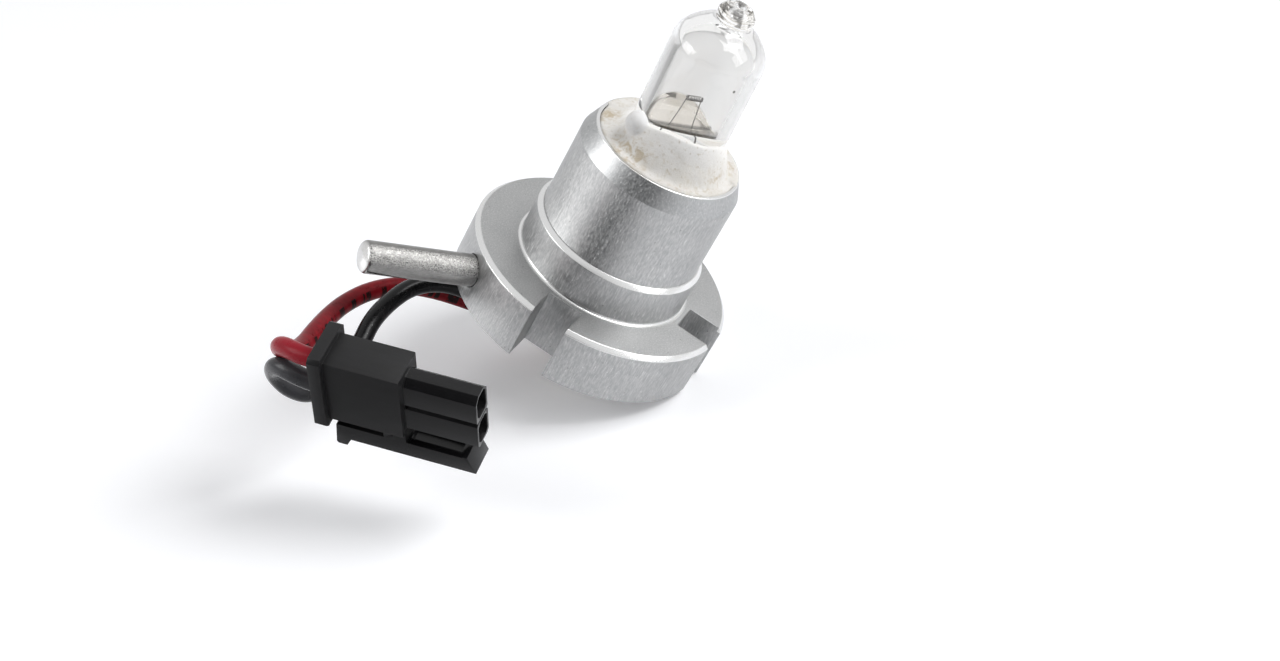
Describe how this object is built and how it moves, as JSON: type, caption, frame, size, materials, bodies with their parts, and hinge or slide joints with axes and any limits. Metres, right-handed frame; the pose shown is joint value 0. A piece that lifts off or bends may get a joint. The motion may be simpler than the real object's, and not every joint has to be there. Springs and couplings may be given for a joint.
{
  "type": "spectrophotometer halogen lamp",
  "caption": "Prefocused halogen lamp: a quartz capsule cemented in a flanged aluminium holder with index slots and a lever pin, its leads ending in a latching plug.",
  "frame": {"origin": "on the holder's axis, in the upper face of the seating flange", "axes": "+Z along the holder towards the bulb; -Y and +X through the two index slots; the lever pin points to 135.6 degrees clockwise from +X seen from above"},
  "size_m": [0.0301, 0.0468, 0.0416],
  "materials": {
    "turned_aluminium": "satin, brushed round by the lathe",
    "pin_steel": "ground, dulled",
    "lamp_cement": "matt, cast, stained",
    "potting": "matt, cast",
    "quartz": "clear, fire polished",
    "tungsten": "drawn wire",
    "sealing_foil": "rolled foil, bright under the quartz",
    "contact_metal": "drawn wire",
    "ferrule_metal": "plated",
    "sleeve": "woven glass, resin coated",
    "red_insulation": "satin",
    "black_insulation": "satin",
    "plug_nylon": "moulded, satin",
    "tinned_terminal": "tinned"
  },
  "bodies": {
    "root": {"lamp_holder": "turned_aluminium", "lever_pin": "pin_steel", "front_cement": "lamp_cement", "rear_potting": "potting", "bulb_envelope": "quartz", "filament": "tungsten", "foil_left": "sealing_foil", "foil_right": "sealing_foil", "contact_pin_left": "contact_metal", "contact_pin_right": "contact_metal", "ferrule_left": "ferrule_metal", "ferrule_right": "ferrule_metal", "sleeve_left": "sleeve", "sleeve_right": "sleeve", "red_lead": "red_insulation", "black_lead": "black_insulation", "plug_housing": "plug_nylon", "plug_terminal_upper": "tinned_terminal", "plug_terminal_lower": "tinned_terminal"}
  },
  "joints": []
}
